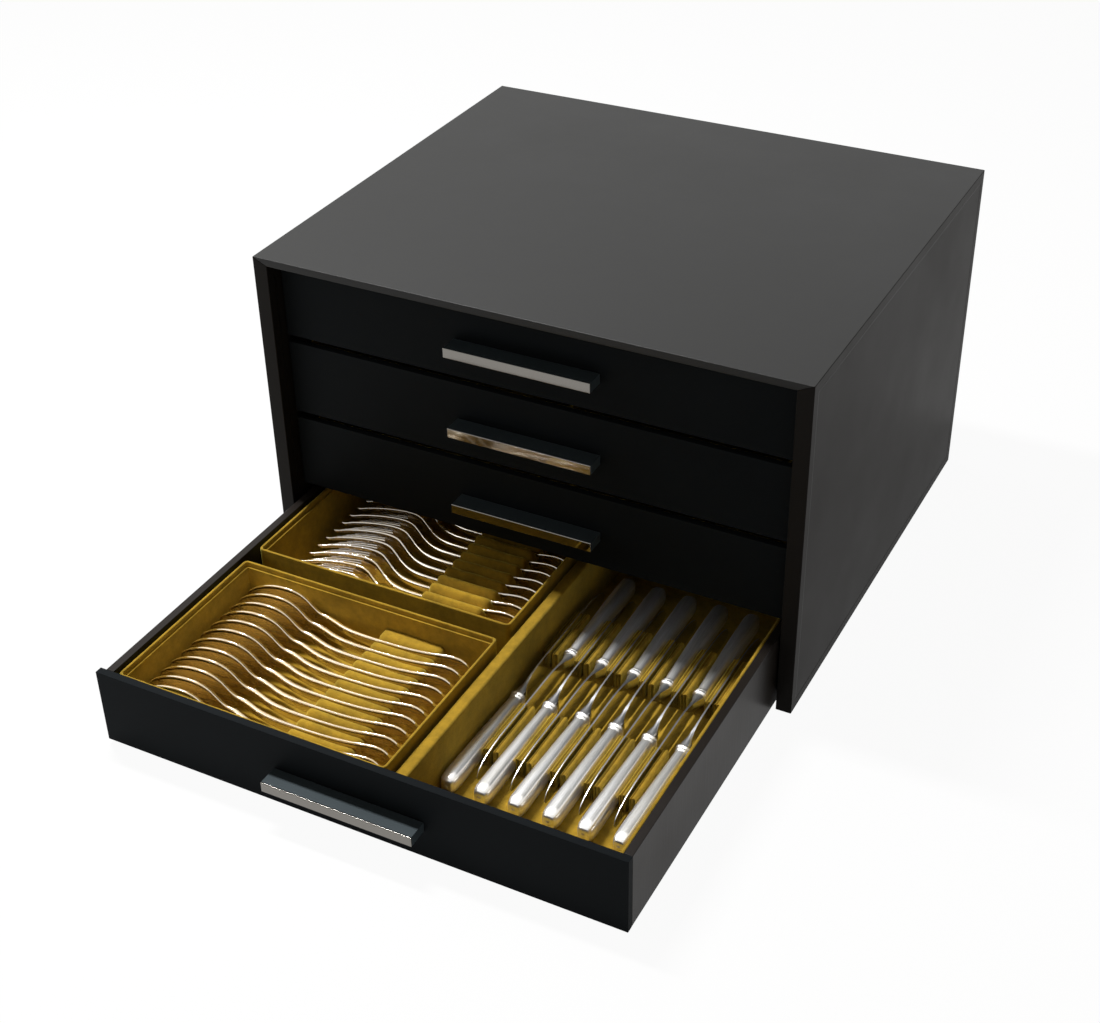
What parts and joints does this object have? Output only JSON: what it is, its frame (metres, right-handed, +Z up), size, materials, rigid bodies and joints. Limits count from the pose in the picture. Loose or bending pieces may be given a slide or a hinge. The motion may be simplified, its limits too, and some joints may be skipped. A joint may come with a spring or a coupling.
{
  "type": "silverware chest",
  "caption": "Rectangular table-top cutlery chest with drawers sliding on plain shelves, square bar pulls and fitted velvet trays; the lowest stands open with spoons, forks and knives on edge.",
  "frame": {"origin": "middle of the case's footprint on the surface it stands on", "axes": "+Z up, -Y towards the drawer fronts, +X to the right seen from the front"},
  "size_m": [0.45, 0.6599, 0.2806],
  "materials": {
    "black_wrap": "fibreboard wrapped in dark grained vinyl, low sheen",
    "black_side": "drawer sides wrapped in smooth dark sheet, satin",
    "pull_wrap": "bar wrapped in the same dark grained sheet",
    "chrome_strip": "polished chromed strip",
    "screws": "plain steel screws",
    "velvet": "short olive-gold velvet over card",
    "silver": "polished silver plate",
    "blade_steel": "polished stainless blades"
  },
  "bodies": {
    "case": {"top_panel": "black_wrap", "left_panel": "black_wrap", "right_panel": "black_wrap", "back_panel": "black_wrap", "base_panel": "black_wrap", "low_shelf": "black_wrap", "middle_shelf": "black_wrap", "high_shelf": "black_wrap"},
    "bottom_drawer": {"bottom_front": "black_wrap", "bottom_left_side": "black_side", "bottom_right_side": "black_side", "bottom_floor": "black_wrap", "bottom_back": "black_wrap", "bottom_pull_bar": "pull_wrap", "bottom_pull_strip": "chrome_strip", "bottom_pull_screws": "screws", "spoon_tray": "velvet", "spoon_tray_lining": "velvet", "fork_tray": "velvet", "fork_tray_lining": "velvet", "knife_tray": "velvet", "spoon_rack": "velvet", "fork_rack": "velvet", "knife_rack_front": "velvet", "knife_rack_rear": "velvet", "spoons": "silver", "forks": "silver", "knife_handles": "silver", "knife_blades": "blade_steel"},
    "lower_drawer": {"lower_front": "black_wrap", "lower_left_side": "black_side", "lower_right_side": "black_side", "lower_floor": "black_wrap", "lower_back": "black_wrap", "lower_pull_bar": "pull_wrap", "lower_pull_strip": "chrome_strip", "lower_pull_screws": "screws", "lower_tray": "velvet", "lower_racks": "velvet"},
    "upper_drawer": {"upper_front": "black_wrap", "upper_left_side": "black_side", "upper_right_side": "black_side", "upper_floor": "black_wrap", "upper_back": "black_wrap", "upper_pull_bar": "pull_wrap", "upper_pull_strip": "chrome_strip", "upper_pull_screws": "screws", "upper_tray": "velvet", "upper_racks": "velvet"},
    "top_drawer": {"top_front": "black_wrap", "top_left_side": "black_side", "top_right_side": "black_side", "top_floor": "black_wrap", "top_back": "black_wrap", "top_pull_bar": "pull_wrap", "top_pull_strip": "chrome_strip", "top_pull_screws": "screws", "top_tray": "velvet", "top_racks": "velvet"}
  },
  "joints": [
    {"name": "bottom_drawer_slide", "type": "slide", "parent": "case", "child": "bottom_drawer", "axis": [0, -1, 0], "range_m": [-0.2668, 0.0232]},
    {"name": "lower_drawer_slide", "type": "slide", "parent": "case", "child": "lower_drawer", "axis": [0, -1, 0], "range_m": [0, 0.29]},
    {"name": "upper_drawer_slide", "type": "slide", "parent": "case", "child": "upper_drawer", "axis": [0, -1, 0], "range_m": [0, 0.29]},
    {"name": "top_drawer_slide", "type": "slide", "parent": "case", "child": "top_drawer", "axis": [0, -1, 0], "range_m": [0, 0.29]}
  ]
}
